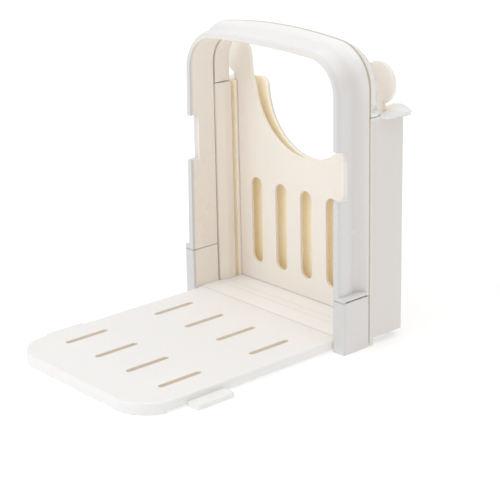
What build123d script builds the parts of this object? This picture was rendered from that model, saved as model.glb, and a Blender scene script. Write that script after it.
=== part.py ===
from build123d import *
import math
import os

os.makedirs("parts", exist_ok=True)

# Bread slicer guide: a folding board in front of two hooped arches with a knife gap between them,
# and a housing behind with an upright stop panel that sets the slice thickness.
# Frame: millimetres, +Z up, X across, the board points to -Y.
# Origin on the table, at the middle of the outline in X and Y with the board laid open.

# ---------------------------------------------------------------- driving dimensions
half_w = 75.0            # feet and housing, half width
inner_hw = 66.0          # inner faces of feet and arches, half width
board_front = -144.4     # board's front end, counted from the feet's front face
flange_rear = 53.4       # housing flange's rear edge, counted from the feet's front face
y0 = -(board_front + flange_rear) / 2    # feet's front face in the model frame

foot_depth = 21.0        # feet, front to back
foot_h = 33.0            # feet, height to the seam under the arch
seam = 0.4               # gap under each arch, deeper along the outer side
foot_edge_r = 1.7        # rounded outer corner of feet and collars
rib_rear = 25.5          # front rib of the housing ends here
gap_rear = 22.5          # knife gap runs from foot_depth to here
score_y = (19.9, 26.4)   # fine scores across the floor, either side of the knife gap
floor_top = 7.0          # level of the board and of the fixed floor behind it
slab_bottom = 1.8

hinge_y = 4.35           # fold axis, from the feet's front face
hinge_z = 5.6
tail_end = floor_top - hinge_z              # board's top face runs this far past the axis
tail_r = tail_end * math.sqrt(2)            # round of the board's rear end, about the axis
tail_gap = 0.15
lip_r = tail_r + tail_gap                   # hollow round in the fixed floor's front edge
pivot_r = 1.35
pivot_clear = 0.05
floor_front = hinge_y + math.sqrt(lip_r ** 2 - tail_end ** 2)   # fixed floor starts here

board_hw = 65.0
board_corner_r = 24.0
slot_pitch = 30.3        # drain slots across the board
slot_w = 3.8
slot_rows = ((-117.3, -86.6), (-49.2, -18.3))
tab_y = (-112.8, -85.9)  # latch tabs along the board's sides
tab_z = (0.8, 3.1)
tab_hw = 74.8

notch_z = (94.3, 124.3)  # latch notches in the front arch's legs
notch_depth = 7.9

house_bottom = 4.6
house_top = 142.0
house_rear = 50.6
wall_hw = 63.6           # grooved inner walls, half width
groove_hw = 67.6         # bottom of the grooves, half width
groove_w = 3.2
groove_y = (34.4, 40.0)  # front edge of each groove
rear_wall = 3.0
rear_top = 145.0
rear_top_hw = 57.0       # rear wall at full height out to here
rear_cut_r = 43.0
rear_cut_z = 141.5
flange_hw = 78.9
flange_front = 30.6
flange_t = 2.0
rest_x = 69.6            # domed thumb rests on the flange
rest_r = 9.2
rest_h = 3.3

panel_t = 2.2
panel_y = 40.3           # stop panel's front face
panel_hw = 67.2
panel_slot_pitch = 23.6
panel_slot_w = 10.6
panel_slot_z = (20.0, 78.9)
panel_cut_r = 46.8
panel_cut_z = 147.0
ear_x = 63.2
ear_z = 158.6
ear_r = 12.9
shoulder_x = 49.3        # ear's inner edge passes here on its way to the hand cut
shoulder_z = 147.0
flare_z = 139.5

rear_arch_back = 34.4
arch_seat_z = 142.5      # rear arch's collar, bottom
collar_t = 2.5

screw_r = 1.45
screw_hole_r = 1.7
head_r = 2.7
head_t = 1.5


def Y(d):
    """Distance behind the feet's front face, as a model Y."""
    return y0 + d


def at_y(d):
    """Plane facing the front, whose local axes are X across and Z up."""
    return Plane(origin=(0, Y(d), 0), x_dir=(1, 0, 0), z_dir=(0, -1, 0))


def leaning(d, slope):
    """Plane facing the front that leans back by slope from the top of the arch's collar."""
    n = math.hypot(1, slope)
    return Plane(origin=(0, Y(d) - slope * (foot_h + seam + collar_t), 0), x_dir=(1, 0, 0), z_dir=(0, -1 / n, slope / n))


def hoop_points(w, r, top, crown_r, taper):
    """Corner and crown arcs of an inverted U: tangent to each other and to legs that spread by taper."""
    n = math.hypot(1, taper)
    zc0 = top - crown_r
    zk = zc0 + math.sqrt((crown_r - r) ** 2 - (w - r) ** 2)
    d = math.hypot(w - r, zk - zc0)
    ux, uz = (w - r) / d, (zk - zc0) / d
    leg = ((w - r) + r / n, zk + r * taper / n)
    tangent = ((w - r) + ux * r, zk + uz * r)
    a_mid = (math.atan2(uz, ux) + math.atan2(taper, 1)) / 2
    mid = ((w - r) + r * math.cos(a_mid), zk + r * math.sin(a_mid))
    return leg, mid, tangent


def hoop_face(w, r, top, crown_r, z0, taper=0.0):
    """Filled inverted-U outline, drawn in the current sketch."""
    leg, mid, tan = hoop_points(w, r, top, crown_r, taper)
    foot = leg[0] + (leg[1] - z0) * taper
    with BuildLine() as outline:
        Line((-foot, z0), (foot, z0))
        Line((foot, z0), leg)
        ThreePointArc(leg, mid, tan)
        ThreePointArc(tan, (0, top), (-tan[0], tan[1]))
        ThreePointArc((-tan[0], tan[1]), (-mid[0], mid[1]), (-leg[0], leg[1]))
        Line((-leg[0], leg[1]), (-foot, z0))
    make_face(outline.edges())


def box(x0, x1, ya, yb, za, zb, mode=Mode.ADD):
    """Box between two corners, Y counted from the feet's front face."""
    with Locations(((x0 + x1) / 2, Y((ya + yb) / 2), (za + zb) / 2)):
        Box(abs(x1 - x0), abs(yb - ya), abs(zb - za), mode=mode)


# ---------------------------------------------------------------- front arch
# Hoop with a rounded rim that leans back a little, a hollowed outer face, and a lip that flares
# outward along the knife gap.  Stations: depth, half width, corner, top, crown, taper.
front_lean = 0.0134
front_stations = (
    (0.0, 68.2, 24.4, 180.6, 520, 0.015),
    (1.0, 68.9, 25.0, 181.5, 520, 0.014),
    (3.2, 69.8, 25.4, 182.5, 520, 0.011),
    (6.5, 70.2, 25.6, 183.4, 500, 0.007),
    (11.0, 69.8, 25.2, 184.3, 480, 0.004),
    (15.0, 69.4, 24.8, 185.0, 460, 0.002),
    (17.6, 70.8, 25.4, 185.9, 440, 0.001),
    (19.4, 73.6, 26.6, 187.3, 420, 0.0),
    (20.3, 74.9, 27.0, 188.0, 400, 0.0),
    (21.0, 75.0, 27.0, 188.2, 400, 0.0),
)
inner_hoop = (65.1, 21.0, 178.2, 600)
inner_taper = 0.0078

with BuildPart() as front_arch:
    # collar that sits flush over each foot
    for s in (-1, 1):
        with BuildSketch(Plane.XY.offset(foot_h + seam)):
            with Locations((s * (half_w + 60) / 2, Y(foot_depth / 2))):
                Rectangle(half_w - 60, foot_depth)
        extrude(amount=collar_t)
    collar_edges = front_arch.edges().filter_by(Axis.Z).group_by(Axis.Y)[0].filter_by(
        lambda e: abs(abs(e.center().X) - half_w) < 0.01)
    fillet(collar_edges, foot_edge_r)
    collar_top = front_arch.edges().group_by(Axis.Z)[-1].filter_by(
        lambda e: e.center().Y < Y(foot_depth - 1) and abs(e.center().X) > 61)
    fillet(collar_top, 0.8)
    # shadow groove under the collar along the outer side
    for s in (-1, 1):
        box(s * (half_w - 0.9), s * (half_w + 2), 1.9, 19.8, foot_h, foot_h + seam + 0.6, mode=Mode.SUBTRACT)
    for d, w, r, top, crown, taper in front_stations:
        with BuildSketch(leaning(d, front_lean * (1 - d / foot_depth))):
            hoop_face(w, r, top, crown, foot_h + seam + collar_t - 0.5, taper)
    loft(ruled=False)
    with BuildSketch(at_y(-2)):
        hoop_face(*inner_hoop, 0, inner_taper)
    extrude(amount=-(foot_depth + 4), mode=Mode.SUBTRACT)
    # latch notches, open to the front
    for s in (-1, 1):
        with BuildSketch(Plane.YZ):
            with Locations((Y(notch_depth / 2 - 2), sum(notch_z) / 2)):
                RectangleRounded(notch_depth + 4, notch_z[1] - notch_z[0], 1.2)
        extrude(amount=s * 90, mode=Mode.SUBTRACT)
    # tongues that plug into the feet, with a pilot hole from below
    for s in (-1, 1):
        box(s * 68.2, s * 72.8, 8.0, 18.0, foot_h - 17.5, foot_h + seam)
    for s in (-1, 1):
        with Locations((s * 70.5, Y(13.0), foot_h - 17.5 + 5.5)):
            Cylinder(screw_r, 11.0, mode=Mode.SUBTRACT)
front_arch.part.label = "front_arch"

# ---------------------------------------------------------------- rear arch
rear_stations = (
    (gap_rear, 75.0, 27.0, 188.2, 400),
    (gap_rear + 0.8, 74.9, 27.0, 188.0, 400),
    (gap_rear + 2.2, 73.2, 26.4, 186.7, 420),
    (gap_rear + 4.2, 71.6, 25.8, 185.3, 440),
    (gap_rear + 6.6, 70.9, 25.4, 184.6, 460),
    (gap_rear + 9.2, 69.6, 24.8, 183.4, 480),
    (rear_arch_back, 67.9, 23.6, 181.4, 520),
)

with BuildPart() as rear_arch:
    for d, w, r, top, crown in rear_stations:
        with BuildSketch(at_y(d)):
            hoop_face(w, r, top, crown, arch_seat_z + collar_t - 0.5)
    loft(ruled=False)
    for s in (-1, 1):
        with BuildSketch(Plane.XY.offset(arch_seat_z)):
            with BuildLine():
                Polyline((s * 60, Y(gap_rear)), (s * half_w, Y(gap_rear)), (s * half_w, Y(27.6)),
                         (s * 72.4, Y(33.0)), (s * 70.6, Y(rear_arch_back)), (s * 60, Y(rear_arch_back)), close=True)
            make_face()
        extrude(amount=collar_t)
    with BuildSketch(at_y(gap_rear - 2)):
        hoop_face(*inner_hoop, 0, inner_taper)
    extrude(amount=-(rear_arch_back - gap_rear + 4), mode=Mode.SUBTRACT)
    # tongues that plug into the top of the housing
    for s in (-1, 1):
        box(s * 67.8, s * 71.6, 27.4, 31.6, arch_seat_z - 15.5, arch_seat_z)
rear_arch.part.label = "rear_arch"

# ---------------------------------------------------------------- base frame
# Both feet, the fixed floor between them, and the lower plate that carries the housing.
with BuildPart() as base_frame:
    for s in (-1, 1):
        with BuildSketch(Plane.XY):
            with Locations((s * (half_w + inner_hw) / 2, Y(foot_depth / 2))):
                Rectangle(half_w - inner_hw, foot_depth)
        extrude(amount=foot_h)
    foot_edges = base_frame.edges().filter_by(Axis.Z).filter_by(
        lambda e: abs(abs(e.center().X) - half_w) < 0.01 and e.center().Y < Y(1))
    fillet(foot_edges, foot_edge_r)
    lower_rear = base_frame.edges().filter_by(Axis.X).filter_by(
        lambda e: e.center().Y > Y(foot_depth - 0.1) and e.center().Z < 0.1)
    fillet(lower_rear, 1.2)
    # fixed floor: wide between the feet, stepping in between the grooved walls
    with BuildSketch(Plane.XY.offset(slab_bottom)):
        with BuildLine():
            Polyline((-inner_hw, Y(floor_front)), (inner_hw, Y(floor_front)), (inner_hw, Y(gap_rear)),
                     (inner_hw - 0.3, Y(gap_rear)), (wall_hw - 0.2, Y(29.0)),
                     (wall_hw - 0.2, Y(house_rear - rear_wall - 0.2)), (-wall_hw + 0.2, Y(house_rear - rear_wall - 0.2)),
                     (-wall_hw + 0.2, Y(29.0)), (-inner_hw + 0.3, Y(gap_rear)), (-inner_hw, Y(gap_rear)), close=True)
        make_face()
    extrude(amount=floor_top - slab_bottom)
    # its front edge is hollowed round the board's tail
    with BuildSketch(Plane.YZ):
        with Locations((Y(hinge_y), hinge_z)):
            Circle(lip_r)
    extrude(amount=inner_hw, both=True, mode=Mode.SUBTRACT)
    # lower plate under the housing, held back from its sides
    with BuildSketch(Plane.XY.offset(slab_bottom)):
        with Locations((0, Y((gap_rear - 0.4 + 48.6) / 2))):
            RectangleRounded(2 * 69.0, 48.6 - gap_rear + 0.4, 2.0)
    extrude(amount=house_bottom - slab_bottom)
    # thin bridge under the knife gap, from each foot to the lower plate
    for s in (-1, 1):
        box(s * (inner_hw - 1), s * 69.0, foot_depth - 0.5, gap_rear + 2.0, slab_bottom, 3.4)
    # blind pivot holes in the feet's inner faces
    with BuildSketch(Plane.YZ):
        with Locations((Y(hinge_y), hinge_z)):
            Circle(pivot_r + pivot_clear)
    extrude(amount=inner_hw + 5.0, both=True, mode=Mode.SUBTRACT)
    # two fine scores across the floor where the knife lands
    for d in score_y:
        box(-62.0, 62.0, d - 0.25, d + 0.25, floor_top - 0.1, floor_top + 1, mode=Mode.SUBTRACT)
    # sockets for the arch's tongues, and the screw holes below them
    for s in (-1, 1):
        box(s * 68.05, s * 72.95, 7.85, 18.15, foot_h - 17.5, foot_h + 1, mode=Mode.SUBTRACT)
        with Locations((s * 70.5, Y(13.0), foot_h / 2)):
            Cylinder(screw_hole_r, foot_h, mode=Mode.SUBTRACT)
        with Locations((s * 70.5, Y(13.0), 4.5)):
            Cylinder(head_r + 0.2, 9.0, mode=Mode.SUBTRACT)
        # screw holes up into the housing
        for d in (30.0, 46.2):
            with Locations((s * 67.0, Y(d), 3.0)):
                Cylinder(screw_hole_r, 6.0, mode=Mode.SUBTRACT)
            with Locations((s * 67.0, Y(d), slab_bottom + head_t / 2)):
                Cylinder(head_r + 0.2, head_t, mode=Mode.SUBTRACT)
        # seats for the rear pads
        with Locations((s * 50.0, Y(42.0), slab_bottom + 0.5)):
            Cylinder(6.05, 1.0, mode=Mode.SUBTRACT)
base_frame.part.label = "base_frame"

# ---------------------------------------------------------------- housing
# Two hollow side towers with grooves for the stop panel, and the rear wall that joins them.
with BuildPart() as guide_housing:
    for s in (-1, 1):
        with BuildSketch(Plane.XY.offset(house_bottom)):
            with BuildLine():
                Polyline((s * (inner_hw - 0.2), Y(gap_rear)), (s * half_w, Y(gap_rear)), (s * half_w, Y(rib_rear - 0.2)),
                         (s * (half_w - 0.35), Y(rib_rear + 0.2)), (s * (half_w - 0.35), Y(house_rear)),
                         (s * (wall_hw - 1), Y(house_rear)), (s * (wall_hw - 1), Y(house_rear - rear_wall)),
                         (s * wall_hw, Y(house_rear - rear_wall)), (s * wall_hw, Y(29.0)), close=True)
            make_face()
        extrude(amount=house_top - house_bottom)
    tower_edges = guide_housing.edges().filter_by(Axis.Z).filter_by(
        lambda e: abs(e.center().Y - Y(gap_rear)) < 0.01)
    fillet(tower_edges.filter_by(lambda e: abs(e.center().X) > 70), 0.9)
    fillet(tower_edges.filter_by(lambda e: abs(e.center().X) < 70), 1.8)
    rear_edges = guide_housing.edges().filter_by(Axis.Z).filter_by(
        lambda e: abs(e.center().Y - Y(house_rear)) < 0.01 and abs(e.center().X) > 70)
    fillet(rear_edges, 1.2)
    # rear wall with its rounded hand cut
    with BuildSketch(at_y(house_rear - rear_wall)):
        with BuildLine():
            Polyline((-wall_hw - 3, house_bottom), (wall_hw + 3, house_bottom), (wall_hw + 3, house_top - 0.5),
                     (rear_top_hw + 2.0, house_top - 0.5), (rear_top_hw + 1.4, house_top + 1.0),
                     (rear_top_hw, rear_top - 0.5), (rear_top_hw - 1.0, rear_top), (1 - rear_top_hw, rear_top),
                     (-rear_top_hw, rear_top - 0.5), (-rear_top_hw - 1.4, house_top + 1.0),
                     (-rear_top_hw - 2.0, house_top - 0.5), (-wall_hw - 3, house_top - 0.5), close=True)
        make_face()
        with Locations((0, rear_cut_z)):
            Circle(rear_cut_r, mode=Mode.SUBTRACT)
        # the cut's upper corners flare out in a quarter round
        k = 5.0 * math.sqrt(0.5)
        with BuildLine():
            Line((-rear_cut_r, rear_top - 5), (rear_cut_r, rear_top - 5))
            ThreePointArc((rear_cut_r, rear_top - 5), (rear_cut_r + 5 - k, rear_top - 5 + k), (rear_cut_r + 5, rear_top))
            Polyline((rear_cut_r + 5, rear_top), (rear_cut_r + 5, rear_top + 5), (-rear_cut_r - 5, rear_top + 5),
                     (-rear_cut_r - 5, rear_top))
            ThreePointArc((-rear_cut_r - 5, rear_top), (-rear_cut_r - 5 + k, rear_top - 5 + k), (-rear_cut_r, rear_top - 5))
        make_face(mode=Mode.SUBTRACT)
    extrude(amount=-rear_wall)
    cut_rims = guide_housing.edges().filter_by(
        lambda e: e.center().Z > 95 and abs(e.center().X) < rear_top_hw - 2
        and min(abs(e.center().Y - Y(house_rear)), abs(e.center().Y - Y(house_rear - rear_wall))) < 0.01)
    fillet(cut_rims, 0.8)
    for s in (-1, 1):
        # overhanging flange round the top of each tower
        with BuildSketch(Plane.XY.offset(house_top - flange_t)):
            with BuildLine():
                Polyline((s * 69, Y(flange_front)), (s * 74.9, Y(flange_front)), (s * 77.4, Y(flange_front + 1.2)),
                         (s * flange_hw, Y(flange_front + 4.5)), (s * flange_hw, Y(flange_rear - 1.5)),
                         (s * (flange_hw - 1.5), Y(flange_rear)), (s * 60, Y(flange_rear)),
                         (s * 57, Y(flange_rear - 1.5)), (s * 56, Y(house_rear - 0.5)), (s * 69, Y(house_rear - 0.5)), close=True)
            make_face()
        extrude(amount=flange_t)
    for s in (-1, 1):
        # domed thumb rest on the flange, cut flat at the back
        with BuildSketch(Plane(origin=(s * rest_x, Y(house_rear), house_top - 0.6), x_dir=(1, 0, 0), z_dir=(0, -1, 0))):
            with BuildLine():
                cap_r = (rest_r ** 2 + rest_h ** 2) / (2 * rest_h)
                h_mid = math.sqrt(cap_r ** 2 - (rest_r / 2) ** 2) - (cap_r - rest_h)
                Polyline((0, rest_h + 0.6), (0, 0), (rest_r, 0), (rest_r, 0.6))
                ThreePointArc((rest_r, 0.6), (rest_r / 2, h_mid + 0.6), (0, rest_h + 0.6))
            make_face()
        revolve(axis=Axis((s * rest_x, Y(house_rear), 0), (0, 0, 1)))
    box(-90, 90, flange_rear - 0.4, flange_rear + 12, house_top, rear_top + 5, mode=Mode.SUBTRACT)
    box(-90, 90, flange_rear, flange_rear + 12, house_top - 1.5, house_top, mode=Mode.SUBTRACT)
    for s in (-1, 1):
        # foot of the front rib, down to the table
        with BuildSketch(Plane.XY):
            with Locations((s * (half_w + inner_hw + 4.6) / 2, Y((gap_rear + rib_rear - 0.2) / 2))):
                RectangleRounded(half_w - inner_hw - 4.6, rib_rear - 0.2 - gap_rear, 0.9)
        extrude(amount=house_bottom + 1)
        # grooves for the stop panel, open at the top
        for d in groove_y:
            box(s * (wall_hw - 5), s * groove_hw, d, d + groove_w, house_bottom - 1, rear_top + 5, mode=Mode.SUBTRACT)
        # hollow core, open at the bottom
        box(s * 69.6, s * 73.0, 33.5, 44.0, house_bottom - 1, house_top - flange_t - 1, mode=Mode.SUBTRACT)
        # socket for the rear arch's tongue
        box(s * 67.65, s * 71.75, 27.25, 31.75, arch_seat_z - 15.5, house_top + 1, mode=Mode.SUBTRACT)
        # pilot holes for the screws from below
        for d in (30.0, 46.2):
            with Locations((s * 67.0, Y(d), house_bottom + 6.0)):
                Cylinder(screw_r, 12.0, mode=Mode.SUBTRACT)
guide_housing.part.label = "guide_housing"

# ---------------------------------------------------------------- stop panel
with BuildPart() as stop_panel:
    with BuildSketch(at_y(panel_y)) as panel_face:
        with Locations((0, (floor_top + 0.3 + 148) / 2)):
            Rectangle(2 * panel_hw, 148 - floor_top - 0.3)
        with Locations((-ear_x, ear_z), (ear_x, ear_z)):
            Circle(ear_r)
        # fill between each ear and the panel
        for s in (-1, 1):
            with BuildLine():
                Polyline((s * 46.0, 134.0), (s * 46.0, 147.0), (s * (ear_x - ear_r), ear_z), (s * ear_x, ear_z),
                         (s * (panel_hw - 1), 147.0), (s * (panel_hw - 1), 134.0), close=True)
            make_face()
        with Locations((0, panel_cut_z)):
            Circle(panel_cut_r, mode=Mode.SUBTRACT)
        # the hand cut opens out into the ears' inner edges
        flare_x = math.sqrt(panel_cut_r ** 2 - (flare_z - panel_cut_z) ** 2)
        with BuildLine():
            Polyline((-flare_x, flare_z), (flare_x, flare_z), (shoulder_x, shoulder_z), (ear_x - ear_r, ear_z),
                     (ear_x - ear_r, 190), (ear_r - ear_x, 190), (ear_r - ear_x, ear_z), (-shoulder_x, shoulder_z), close=True)
        make_face(mode=Mode.SUBTRACT)
        fillet(panel_face.vertices().filter_by(lambda v: v.Z > 134 and v.Z < 149 and abs(v.X) < 55), 5.0)
        fillet(panel_face.vertices().filter_by(lambda v: v.Z > 140 and v.Z < 149 and abs(v.X) > 60), 0.9)
        # five upright slots
        with GridLocations(panel_slot_pitch, 0, 5, 1):
            with Locations((0, sum(panel_slot_z) / 2)):
                SlotOverall(panel_slot_z[1] - panel_slot_z[0], panel_slot_w, rotation=90, mode=Mode.SUBTRACT)
    extrude(amount=-panel_t)
    front_rims = stop_panel.edges().filter_by(lambda e: abs(e.center().Y - Y(panel_y)) < 0.01)
    outline_front = front_rims.filter_by(lambda e: e.center().Z > 95)
    slot_front = front_rims.filter_by(lambda e: abs(e.center().X) < 60 and panel_slot_z[0] - 1 < e.center().Z < panel_slot_z[1] + 1)
    fillet(outline_front, 0.75)
    outline_rear = stop_panel.edges().filter_by(
        lambda e: abs(e.center().Y - Y(panel_y + panel_t)) < 0.01 and e.center().Z > 95)
    fillet(outline_rear, 0.6)
    fillet(slot_front, 0.35)
stop_panel.part.label = "stop_panel"

# ---------------------------------------------------------------- folding board
with BuildPart() as folding_board:
    # tray outline: straight sides and a rounded front end
    with BuildSketch(Plane.XY):
        with BuildLine():
            Polyline((-board_hw, Y(hinge_y)), (-board_hw, Y(board_front + board_corner_r)))
            ThreePointArc((-board_hw, Y(board_front + board_corner_r)),
                          (-board_hw + board_corner_r * (1 - math.sqrt(0.5)), Y(board_front + board_corner_r * (1 - math.sqrt(0.5)))),
                          (-board_hw + board_corner_r, Y(board_front)))
            Line((-board_hw + board_corner_r, Y(board_front)), (board_hw - board_corner_r, Y(board_front)))
            ThreePointArc((board_hw - board_corner_r, Y(board_front)),
                          (board_hw - board_corner_r * (1 - math.sqrt(0.5)), Y(board_front + board_corner_r * (1 - math.sqrt(0.5)))),
                          (board_hw, Y(board_front + board_corner_r)))
            Polyline((board_hw, Y(board_front + board_corner_r)), (board_hw, Y(hinge_y)), (-board_hw, Y(hinge_y)))
        make_face()
    extrude(amount=floor_top)
    top_rim = folding_board.faces().sort_by(Axis.Z)[-1].edges().filter_by(
        lambda e: e.center().Y < Y(hinge_y) - 0.1)
    fillet(top_rim, 1.1)
    # skirt cut short along the sides behind the front end
    box(-90, 90, -126.5, 20, -1, 1.4, mode=Mode.SUBTRACT)
    # hollow underside: a rim wall all round, open below
    with BuildSketch(Plane.XY.offset(-0.5)):
        with BuildLine():
            r_in = board_corner_r - 2.4
            hw_in = board_hw - 2.4
            fr_in = board_front + 2.4
            k = 1 - math.sqrt(0.5)
            Polyline((-hw_in, Y(hinge_y - 6.5)), (-hw_in, Y(fr_in + r_in)))
            ThreePointArc((-hw_in, Y(fr_in + r_in)), (-hw_in + r_in * k, Y(fr_in + r_in * k)), (-hw_in + r_in, Y(fr_in)))
            Line((-hw_in + r_in, Y(fr_in)), (hw_in - r_in, Y(fr_in)))
            ThreePointArc((hw_in - r_in, Y(fr_in)), (hw_in - r_in * k, Y(fr_in + r_in * k)), (hw_in, Y(fr_in + r_in)))
            Polyline((hw_in, Y(fr_in + r_in)), (hw_in, Y(hinge_y - 6.5)), (-hw_in, Y(hinge_y - 6.5)))
        make_face()
    extrude(amount=0.5 + floor_top - 2.6, mode=Mode.SUBTRACT)
    # stiffening ribs between the slots
    for x in (-slot_pitch, 0, slot_pitch):
        box(x - 0.9, x + 0.9, board_front + 2, hinge_y - 5, 1.4, floor_top - 2.0)
    box(-hw_in - 1, hw_in + 1, -68.8, -67.0, 1.4, floor_top - 2.0)
    # rounded tail behind the fold axis, level with the board's top face
    with BuildSketch(Plane.YZ.offset(-board_hw)) as tail:
        with Locations((Y(hinge_y), hinge_z)):
            Circle(tail_r)
        with Locations((Y(hinge_y), floor_top + 2)):
            Rectangle(8, 4, mode=Mode.SUBTRACT)
        with Locations((Y(hinge_y) - 3, hinge_z)):
            Rectangle(4, 8, mode=Mode.SUBTRACT)
    extrude(amount=2 * board_hw)
    # drain slots
    for ya, yb in slot_rows:
        with BuildSketch(Plane.XY.offset(floor_top + 1)):
            with Locations((0, Y((ya + yb) / 2))):
                with GridLocations(slot_pitch, 0, 4, 1):
                    SlotOverall(yb - ya, slot_w, rotation=90)
        extrude(amount=-floor_top - 2, mode=Mode.SUBTRACT)
    # latch tabs
    for s in (-1, 1):
        with BuildSketch(Plane.XY.offset(tab_z[0])):
            with BuildLine():
                Polyline((s * (board_hw - 1.5), Y(tab_y[0])), (s * (tab_hw - 0.8), Y(tab_y[0])), (s * tab_hw, Y(tab_y[0] + 0.8)),
                         (s * tab_hw, Y(tab_y[1] - 0.8)), (s * (tab_hw - 0.8), Y(tab_y[1])), (s * (board_hw - 1.5), Y(tab_y[1])), close=True)
            make_face()
        extrude(amount=tab_z[1] - tab_z[0])
    # moulded pivots
    with BuildSketch(Plane.YZ.offset(-inner_hw - 4.6)):
        with Locations((Y(hinge_y), hinge_z)):
            Circle(pivot_r)
    extrude(amount=2 * (inner_hw + 4.6))
folding_board.part.label = "folding_board"

# ---------------------------------------------------------------- screws and pads
with BuildPart() as arch_screws:
    for s in (-1, 1):
        with Locations((s * 70.5, Y(13.0), 9.0 - head_t / 2)):
            Cylinder(head_r, head_t)
        with Locations((s * 70.5, Y(13.0), 9.0 + 7.5)):
            Cylinder(screw_r, 15.0)
        with BuildSketch(Plane.XY.offset(9.0 - head_t)):
            with Locations((s * 70.5, Y(13.0))):
                Rectangle(3.2, 0.7)
                Rectangle(0.7, 3.2)
        extrude(amount=0.8, mode=Mode.SUBTRACT)
arch_screws.part.label = "arch_screws"

with BuildPart() as housing_screws:
    for s in (-1, 1):
        for d in (30.0, 46.2):
            with Locations((s * 67.0, Y(d), slab_bottom + head_t / 2)):
                Cylinder(head_r, head_t)
            with Locations((s * 67.0, Y(d), slab_bottom + head_t + 5.5)):
                Cylinder(screw_r, 11.0)
            with BuildSketch(Plane.XY.offset(slab_bottom)):
                with Locations((s * 67.0, Y(d))):
                    Rectangle(3.2, 0.7)
                    Rectangle(0.7, 3.2)
            extrude(amount=0.8, mode=Mode.SUBTRACT)
housing_screws.part.label = "housing_screws"

with BuildPart() as rear_pads:
    for s in (-1, 1):
        with BuildSketch(Plane.XY):
            with Locations((s * 50.0, Y(42.0))):
                Circle(6.0)
        extrude(amount=slab_bottom + 1.0)
    fillet(rear_pads.edges().group_by(Axis.Z)[0], 0.5)
rear_pads.part.label = "rear_pads"

for piece in (folding_board, base_frame, front_arch, rear_arch, guide_housing, stop_panel,
              arch_screws, housing_screws, rear_pads):
    export_step(piece.part, f"parts/{piece.part.label}.step")
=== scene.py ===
import bpy
import math
from mathutils import Matrix, Vector

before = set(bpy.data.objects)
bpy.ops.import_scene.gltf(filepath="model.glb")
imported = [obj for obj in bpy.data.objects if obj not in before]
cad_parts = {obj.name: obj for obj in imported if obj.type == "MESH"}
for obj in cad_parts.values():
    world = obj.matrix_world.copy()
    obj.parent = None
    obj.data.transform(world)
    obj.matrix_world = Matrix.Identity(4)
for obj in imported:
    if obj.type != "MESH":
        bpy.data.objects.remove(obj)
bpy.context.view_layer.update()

# ------------------------------------------------------------------ camera
# Placed where the reference view was taken from: right of the board, above the arch's top.
cam_data = bpy.data.cameras.new("view_camera")
cam_data.sensor_fit = "HORIZONTAL"
cam_data.sensor_width = 36.0
cam_data.lens = 105.24
cam_data.clip_start = 0.05
cam_data.clip_end = 20.0
cam = bpy.data.objects.new("view_camera", cam_data)
bpy.context.scene.collection.objects.link(cam)
right = Vector((0.66027, 0.75071, -0.02182)).normalized()
forward = Vector((-0.71593, 0.62038, -0.32028)).normalized()
up = right.cross(forward).normalized()
right = forward.cross(up).normalized()
m = Matrix.Identity(4)
for k, axis in enumerate((right, up, -forward)):
    for r in range(3):
        m[r][k] = axis[r]
for r, v in enumerate((0.65081, -0.52599, 0.34228)):
    m[r][3] = v
cam.matrix_world = m
bpy.context.scene.camera = cam


# ------------------------------------------------------------------ node helpers
def new_material(name):
    mat = bpy.data.materials.new(name)
    mat.use_nodes = True
    nt = mat.node_tree
    nt.nodes.clear()
    out = nt.nodes.new("ShaderNodeOutputMaterial")
    shader = nt.nodes.new("ShaderNodeBsdfPrincipled")
    nt.links.new(shader.outputs[0], out.inputs[0])
    return mat, nt, shader


def noise(nt, coord, scale, detail=3.0, rough=0.5, stretch=None):
    n = nt.nodes.new("ShaderNodeTexNoise")
    n.inputs["Scale"].default_value = scale
    n.inputs["Detail"].default_value = detail
    n.inputs["Roughness"].default_value = rough
    src = coord
    if stretch:
        mp = nt.nodes.new("ShaderNodeMapping")
        mp.inputs["Scale"].default_value = stretch
        nt.links.new(coord, mp.inputs["Vector"])
        src = mp.outputs[0]
    nt.links.new(src, n.inputs["Vector"])
    return n.outputs["Fac"]


def ramp(nt, value, stops):
    r = nt.nodes.new("ShaderNodeValToRGB")
    els = r.color_ramp.elements
    while len(els) < len(stops):
        els.new(0.5)
    for e, (pos, col) in zip(els, stops):
        e.position = pos
        e.color = (*col, 1.0) if len(col) == 3 else col
    nt.links.new(value, r.inputs[0])
    return r.outputs["Color"]


def span(nt, value, lo, hi, to_lo, to_hi):
    n = nt.nodes.new("ShaderNodeMapRange")
    n.inputs["From Min"].default_value = lo
    n.inputs["From Max"].default_value = hi
    n.inputs["To Min"].default_value = to_lo
    n.inputs["To Max"].default_value = to_hi
    nt.links.new(value, n.inputs["Value"])
    return n.outputs[0]


def mix(nt, fac, a, b):
    n = nt.nodes.new("ShaderNodeMix")
    n.data_type = "RGBA"
    nt.links.new(fac, n.inputs["Factor"])
    nt.links.new(a, n.inputs[6])
    nt.links.new(b, n.inputs[7])
    return n.outputs[2]


def math_node(nt, op, a, b):
    n = nt.nodes.new("ShaderNodeMath")
    n.operation = op
    for k, v in enumerate((a, b)):
        if isinstance(v, (int, float)):
            n.inputs[k].default_value = v
        else:
            nt.links.new(v, n.inputs[k])
    return n.outputs[0]


def bumps(nt, shader, layers, under=None):
    """Layers of (height, distance in metres, strength), coarse to fine, on top of the normal under."""
    last = under
    for height, distance, strength in layers:
        b = nt.nodes.new("ShaderNodeBump")
        b.inputs["Distance"].default_value = distance
        b.inputs["Strength"].default_value = strength
        nt.links.new(height, b.inputs["Height"])
        if last is not None:
            nt.links.new(last, b.inputs["Normal"])
        last = b.outputs[0]
    nt.links.new(last, shader.inputs["Normal"])


# ------------------------------------------------------------------ moulded plastic
Y0 = 0.0455              # the feet's front face, as a model Y
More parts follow.
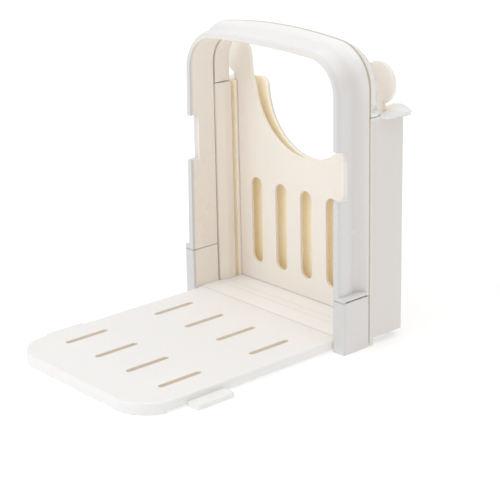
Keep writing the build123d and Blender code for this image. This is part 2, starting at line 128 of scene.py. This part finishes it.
# (light, deep) pigment pairs
IVORY = ((0.762, 0.742, 0.730), (0.746, 0.725, 0.708))      # clean outer faces
RIM_SHADE = ((0.690, 0.688, 0.684), (0.676, 0.673, 0.666))        # painted shade: front rims given a darker pigment, as their front faces sit in shade
CREAM = ((0.778, 0.744, 0.712), (0.764, 0.728, 0.692))      # the housing's outer faces
CROWN_LIGHT = ((0.885, 0.880, 0.870), (0.870, 0.864, 0.850))      # painted light: paler pigment on the tops of the arches and the housing, which face up to the light
PLATE = ((0.868, 0.868, 0.862), (0.853, 0.851, 0.842))
FLANGE_LIGHT = ((0.935, 0.930, 0.926), (0.920, 0.914, 0.908))     # painted light: flange and thumb rests given a paler pigment because they face up # the board
LANDING_LIGHT = ((0.960, 0.948, 0.925), (0.945, 0.930, 0.905))    # painted light: fixed floor under the arches given a paler pigment that lifts the shade cast there
INNER_LIGHT_PAINT = ((0.925, 0.864, 0.790), (0.910, 0.846, 0.764))     # painted light: paler, warmer pigment inside the arches and housing, where bounced light and light soaking through brighten them
# painted light: the stop panel's whole pigment is paler and warmer, standing in for light bounced inside the housing
PANEL_INNER_LIGHT = ((0.903, 0.860, 0.798), (0.887, 0.841, 0.772))
WARM_GLOW_PAINT = ((1.000, 0.885, 0.760), (1.000, 0.865, 0.722))        # painted light: bright tan behind the stop panel and in its grooves, standing in for light bounced and shining through there
SLOT_SHADE = ((0.790, 0.690, 0.560), (0.750, 0.640, 0.500))       # painted shade: darker tan on the walls of the board's slots, standing in for the shade inside them


def coords(nt, seed):
    place = nt.nodes.new("ShaderNodeTexCoord").outputs["Object"]
    sep = nt.nodes.new("ShaderNodeSeparateXYZ")
    nt.links.new(place, sep.inputs[0])
    mp = nt.nodes.new("ShaderNodeMapping")
    mp.inputs["Location"].default_value = (seed, seed * 0.7, -seed * 1.3)
    nt.links.new(place, mp.inputs["Vector"])
    return sep.outputs, mp.outputs[0]


def band(nt, value, lo, hi, soft):
    """1 between lo and hi, with soft borders."""
    up = span(nt, value, lo - soft, lo + soft, 0.0, 1.0)
    down = span(nt, value, hi - soft, hi + soft, 1.0, 0.0)
    return math_node(nt, "MULTIPLY", up, down)


def block(nt, xyz, half, y_lo, y_hi, z_lo, z_hi, soft):
    """1 inside |x| < half, between the y and z limits (y counted from the feet's front face)."""
    ax = math_node(nt, "ABSOLUTE", xyz[0], 0.0)
    m = math_node(nt, "MULTIPLY", span(nt, ax, half - soft, half + soft, 1.0, 0.0), band(nt, xyz[1], Y0 + y_lo, Y0 + y_hi, soft))
    return math_node(nt, "MULTIPLY", m, band(nt, xyz[2], z_lo, z_hi, soft))


def hoop_inside(nt, xyz, soft):
    """1 on and inside the arches' inner outline, 0 on their outer faces."""
    ax = math_node(nt, "ABSOLUTE", xyz[0], 0.0)
    dx = math_node(nt, "MAXIMUM", math_node(nt, "SUBTRACT", ax, 0.0441), 0.0)
    dz = math_node(nt, "MAXIMUM", math_node(nt, "SUBTRACT", xyz[2], 0.1566), 0.0)
    d = math_node(nt, "SQRT", math_node(nt, "ADD", math_node(nt, "MULTIPLY", dx, dx), math_node(nt, "MULTIPLY", dz, dz)), 0.0)
    return span(nt, d, 0.0219, 0.0219 + 2 * soft, 1.0, 0.0)


def pigment(nt, fields, pair):
    light, deep = pair
    cloudy, flow, blend = fields
    body = ramp(nt, cloudy, [(0.30, deep), (0.70, light)])
    streak = ramp(nt, flow, [(0.25, tuple(c * 0.985 for c in light)), (0.75, tuple(min(1.0, c * 1.01) for c in light))])
    return mix(nt, blend, body, streak)


def moulded_plastic(name, rough=(0.30, 0.40), seed=0.0, grain=1.0, scuff=0.35, base=IVORY, zones=(), glow=0.3, depth=0.004,
                    scatter_and_glow_zone=None, knife_marks=False, rubbed_edges=True):
    """Moulded plastic: cloudy pigment, flow marks, zones of painted light and shade, fine grain, rounded rubbed edges.
    """
    mat, nt, shader = new_material(name)
    xyz, coord = coords(nt, seed)
    cloudy = noise(nt, coord, 14.0, 4.0, 0.55)
    flow = noise(nt, coord, 60.0, 3.0, 0.6, stretch=(1.0, 0.35, 0.35))
    fields = (cloudy, flow, span(nt, noise(nt, coord, 33.0, 2.0), 0.3, 0.7, 0.15, 0.45))
    colour = pigment(nt, fields, base)
    # each zone paints light or shade into the pigment
    for where, pair in zones:
        colour = mix(nt, where(nt, xyz), colour, pigment(nt, fields, pair))
    # moulded edges are rounded by half a millimetre, and rubbed a touch paler where they are handled
    soft = nt.nodes.new("ShaderNodeBevel")
    soft.samples = 4
    soft.inputs["Radius"].default_value = 0.0005
    if rubbed_edges:
        geo = nt.nodes.new("ShaderNodeNewGeometry")
        turn = nt.nodes.new("ShaderNodeVectorMath")
        turn.operation = "DOT_PRODUCT"
        nt.links.new(soft.outputs[0], turn.inputs[0])
        nt.links.new(geo.outputs["Normal"], turn.inputs[1])
        edge = math_node(nt, "MULTIPLY", span(nt, turn.outputs["Value"], 0.97, 0.80, 0.0, 0.5), span(nt, flow, 0.3, 0.6, 0.35, 1.0))
        rubbed = ramp(nt, flow, [(0.2, tuple(min(1.0, c * 1.02) for c in base[0])), (0.8, tuple(min(1.0, c * 1.04) for c in base[0]))])
        colour = mix(nt, edge, colour, rubbed)
    under = soft.outputs[0]
    heights = []
    if knife_marks:
        # hair-thin cuts left across the floor by the bread knife
        cuts = noise(nt, coord, 700.0, 2.0, 0.6, stretch=(0.02, 1.0, 1.0))
        worn = block(nt, xyz, 0.060, 0.012, 0.034, 0.0065, 0.0075, 0.0004)
        worn = math_node(nt, "MULTIPLY", worn, span(nt, noise(nt, coord, 40.0, 2.0), 0.35, 0.65, 0.3, 1.0))
        hair = math_node(nt, "MULTIPLY", span(nt, cuts, 0.60, 0.68, 0.0, 1.0), worn)
        darker = ramp(nt, flow, [(0.2, (0.70, 0.675, 0.62)), (0.8, (0.74, 0.715, 0.67))])
        colour = mix(nt, math_node(nt, "MULTIPLY", hair, 0.22), colour, darker)
        heights.append((math_node(nt, "SUBTRACT", 1.0, hair), 0.00006, 0.5))
    nt.links.new(colour, shader.inputs["Base Color"])
    # roughness: satin, with handling smears and fine scuffs
    smear = noise(nt, coord, 22.0, 5.0, 0.65)
    base_rough = span(nt, smear, 0.30, 0.70, rough[0], rough[1])
    scratch = noise(nt, coord, 420.0, 2.0, 0.5, stretch=(1.0, 0.04, 0.25))
    scratch_mask = span(nt, scratch, 0.62, 0.75, 0.0, 0.10 * scuff)
    nt.links.new(math_node(nt, "ADD", base_rough, scratch_mask), shader.inputs["Roughness"])
    shader.inputs["IOR"].default_value = 1.5
    shader.inputs["Specular IOR Level"].default_value = 0.45
    shader.inputs["Subsurface Weight"].default_value = glow
    if scatter_and_glow_zone:
        # more subsurface scatter where daylight passes through the thin walls behind, and a painted glow (emission,
        # orange-tan) there
        glow_mask = scatter_and_glow_zone(nt, xyz)
        nt.links.new(span(nt, glow_mask, 0.0, 1.0, glow, 1.0), shader.inputs["Subsurface Weight"])
        warm = ramp(nt, cloudy, [(0.30, (0.90, 0.57, 0.33)), (0.70, (1.00, 0.64, 0.38))])
        nt.links.new(warm, shader.inputs["Emission Color"])
        nt.links.new(span(nt, glow_mask, 0.0, 1.0, 0.0, 0.10), shader.inputs["Emission Strength"])
    shader.inputs["Subsurface Radius"].default_value = (1.0, 0.72, 0.45)
    shader.inputs["Subsurface Scale"].default_value = depth
    fine = noise(nt, coord, 1900.0, 2.0, 0.5)
    sink = noise(nt, coord, 38.0, 2.0, 0.4)
    heights += [(sink, 0.0001, 0.05 * grain), (fine, 0.00002, 0.15 + 0.15 * grain), (scratch, 0.000004, 0.25 * scuff)]
    bumps(nt, shader, heights, under)
    return mat


def turned_steel(name):
    mat, nt, shader = new_material(name)
    coord = nt.nodes.new("ShaderNodeTexCoord").outputs["Object"]
    cloudy = noise(nt, coord, 900.0, 3.0, 0.5)
    colour = ramp(nt, cloudy, [(0.3, (0.46, 0.46, 0.47)), (0.7, (0.62, 0.62, 0.63))])
    nt.links.new(colour, shader.inputs["Base Color"])
    shader.inputs["Metallic"].default_value = 1.0
    rough = span(nt, noise(nt, coord, 2200.0, 3.0, 0.6), 0.3, 0.7, 0.26, 0.42)
    nt.links.new(rough, shader.inputs["Roughness"])
    bumps(nt, shader, [(noise(nt, coord, 3000.0, 2.0, 0.5), 0.00003, 0.4)])
    return mat


def silicone(name):
    mat, nt, shader = new_material(name)
    coord = nt.nodes.new("ShaderNodeTexCoord").outputs["Object"]
    dusty = noise(nt, coord, 260.0, 4.0, 0.6)
    colour = ramp(nt, dusty, [(0.3, (0.52, 0.50, 0.47)), (0.75, (0.64, 0.62, 0.59))])
    nt.links.new(colour, shader.inputs["Base Color"])
    rough = span(nt, noise(nt, coord, 400.0, 3.0, 0.5), 0.3, 0.7, 0.62, 0.78)
    nt.links.new(rough, shader.inputs["Roughness"])
    bumps(nt, shader, [(noise(nt, coord, 1500.0, 3.0, 0.5), 0.00005, 0.5)])
    return mat


# painted light: the arches' inner faces take the paler, warmer inside pigment
def lit_in_hoop(nt, xyz):
    return hoop_inside(nt, xyz, 0.0006)


# painted light: the arch tops above 166 mm fade into the paler top pigment
def lit_crown(nt, xyz):
    return span(nt, xyz[2], 0.166, 0.184, 0.0, 1.0)


# painted shade: marks the rims' front faces, which get the darker pigment
def shaded_front_rim(nt, xyz):
    low = math_node(nt, "MULTIPLY", xyz[2], 0.0134)
    front = span(nt, math_node(nt, "SUBTRACT", xyz[1], low), Y0 + 0.0006, Y0 + 0.0022, 1.0, 0.0)
    return math_node(nt, "MULTIPLY", front, span(nt, xyz[2], 0.160, 0.182, 1.0, 0.35))


# painted light: the walls of the knife gap take the paler, warmer inside pigment instead of their shade
def lit_knife_gap(nt, xyz):
    return band(nt, xyz[1], Y0 + 0.0206, Y0 + 0.0229, 0.0002)


# painted light: the housing's top, above 140 mm, fades into the paler pigment
def lit_housing_top(nt, xyz):
    return span(nt, xyz[2], 0.1398, 0.1422, 0.0, 1.0)


# painted light: the feet's inner faces take the paler, warmer inside pigment
def lit_feet_inner(nt, xyz):
    return block(nt, xyz, 0.0665, 0.002, 0.060, 0.0078, 0.040, 0.0004)


# painted light: the fixed floor between the feet takes the paler pigment
def lit_landing(nt, xyz):
    return block(nt, xyz, 0.0662, 0.000, 0.060, 0.0010, 0.0074, 0.0004)


# painted light: the board's rear end near the arches takes the same paler pigment
def lit_board_rear(nt, xyz):
    return block(nt, xyz, 0.0900, -0.022, 0.030, 0.0000, 0.0100, 0.018)


# painted light: the housing's inner faces take the paler, warmer inside pigment
def lit_housing_inner(nt, xyz):
    return block(nt, xyz, 0.0676, 0.015, 0.0484, 0.002, 0.160, 0.0006)


# painted light: the rear wall behind the stop panel and its grooves take the bright tan pigment
def glowing_wall_and_grooves(nt, xyz):
    return block(nt, xyz, 0.0686, 0.0345, 0.0488, 0.002, 0.160, 0.0003)


# painted shade: the walls of the board's slots take the darker tan pigment
def shaded_board_slots(nt, xyz):
    return block(nt, xyz, 0.0490, -0.1190, -0.0170, 0.00490, 0.00675, 0.0002)


finish = {
    "folding_board": moulded_plastic("board_plastic_look", (0.34, 0.46), 0.13, 1.0, 1.0, base=PLATE,
                                     zones=((lit_board_rear, LANDING_LIGHT), (shaded_board_slots, SLOT_SHADE)), glow=0.3, depth=0.002),
    "base_frame": moulded_plastic("base_plastic_look", (0.32, 0.44), 1.7, 1.0, 0.6, glow=0.25, depth=0.002,
                                  zones=((shaded_front_rim, RIM_SHADE), (lit_landing, LANDING_LIGHT), (lit_feet_inner, INNER_LIGHT_PAINT)), knife_marks=True),
    "front_arch": moulded_plastic("front_arch_look", (0.22, 0.30), 2.9, 0.0, 0.0, glow=0.0, depth=0.002, rubbed_edges=False,
                                  zones=((lit_crown, CROWN_LIGHT), (lit_in_hoop, INNER_LIGHT_PAINT), (shaded_front_rim, RIM_SHADE), (lit_knife_gap, INNER_LIGHT_PAINT))),
    # painted light: the rear arch's whole pigment is the paler top pigment
    "rear_arch": moulded_plastic("rear_arch_look", (0.22, 0.30), 4.1, 0.0, 0.0, base=CROWN_LIGHT, glow=0.0, depth=0.002, rubbed_edges=False,
                                 zones=((lit_crown, CROWN_LIGHT), (lit_in_hoop, INNER_LIGHT_PAINT), (lit_knife_gap, INNER_LIGHT_PAINT))),
    "guide_housing": moulded_plastic("housing_plastic_look", (0.30, 0.42), 5.3, 1.0, 0.5, base=CREAM,
                                     zones=((lit_housing_top, FLANGE_LIGHT), (lit_knife_gap, INNER_LIGHT_PAINT), (lit_housing_inner, INNER_LIGHT_PAINT),
                                            (glowing_wall_and_grooves, WARM_GLOW_PAINT)), glow=0.15, depth=0.005,
                                     scatter_and_glow_zone=glowing_wall_and_grooves),
    "stop_panel": moulded_plastic("panel_plastic_look", (0.30, 0.42), 6.6, 1.0, 0.6, base=PANEL_INNER_LIGHT, glow=0.3, depth=0.002),
    "arch_screws": turned_steel("arch_screw_steel"),
    "housing_screws": turned_steel("housing_screw_steel"),
    "rear_pads": silicone("pad_silicone_look"),
}
for name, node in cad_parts.items():
    node.data.materials.clear()
    node.data.materials.append(finish[name])
    for s in node.material_slots:
        s.material = finish[name]

# ------------------------------------------------------------------ floor and light
floor_mesh = bpy.data.meshes.new("studio_floor")
s = 6.0
floor_mesh.from_pydata([(-s, -s, 0), (s, -s, 0), (s, s, 0), (-s, s, 0)], [], [(0, 1, 2, 3)])
floor = bpy.data.objects.new("studio_floor", floor_mesh)
bpy.context.scene.collection.objects.link(floor)
fmat, fnt, fshader = new_material("studio_floor_paper")
fcoord = fnt.nodes.new("ShaderNodeTexCoord").outputs["Object"]
fcol = ramp(fnt, noise(fnt, fcoord, 1.2, 2.0), [(0.3, (0.575, 0.575, 0.575)), (0.7, (0.585, 0.585, 0.585))])
fnt.links.new(fcol, fshader.inputs["Base Color"])
fshader.inputs["Roughness"].default_value = 0.9
fshader.inputs["Specular IOR Level"].default_value = 0.1
# a white sheet lit from below as well, so contact shadows stay pale
fshader.inputs["Emission Color"].default_value = (1.0, 1.0, 1.0, 1.0)
fshader.inputs["Emission Strength"].default_value = 0.49
floor_mesh.materials.append(fmat)

world = bpy.data.worlds.new("studio")
bpy.context.scene.world = world
world.use_nodes = True
bg = world.node_tree.nodes["Background"]
bg.inputs["Color"].default_value = (1.0, 0.99, 0.985, 1.0)
bg.inputs["Strength"].default_value = 0.66


def area(name, loc, target, size, energy, colour=(1, 1, 1)):
    d = bpy.data.lights.new(name, "AREA")
    d.shape = "RECTANGLE"
    d.size, d.size_y = size
    d.energy = energy
    d.color = colour
    o = bpy.data.objects.new(name, d)
    bpy.context.scene.collection.objects.link(o)
    o.location = loc
    o.rotation_euler = (Vector(target) - Vector(loc)).to_track_quat("-Z", "Y").to_euler()
    return o


area("soft_top", (0.0, -0.2, 4.0), (0.0, -0.2, 0.0), (6.0, 6.0), 74.0)
area("soft_key", (-0.35, -1.5, 1.3), (0.0, 0.0, 0.06), (1.0, 1.0), 7.5)

bpy.context.scene.view_settings.view_transform = "Standard"
bpy.context.scene.view_settings.look = "None"
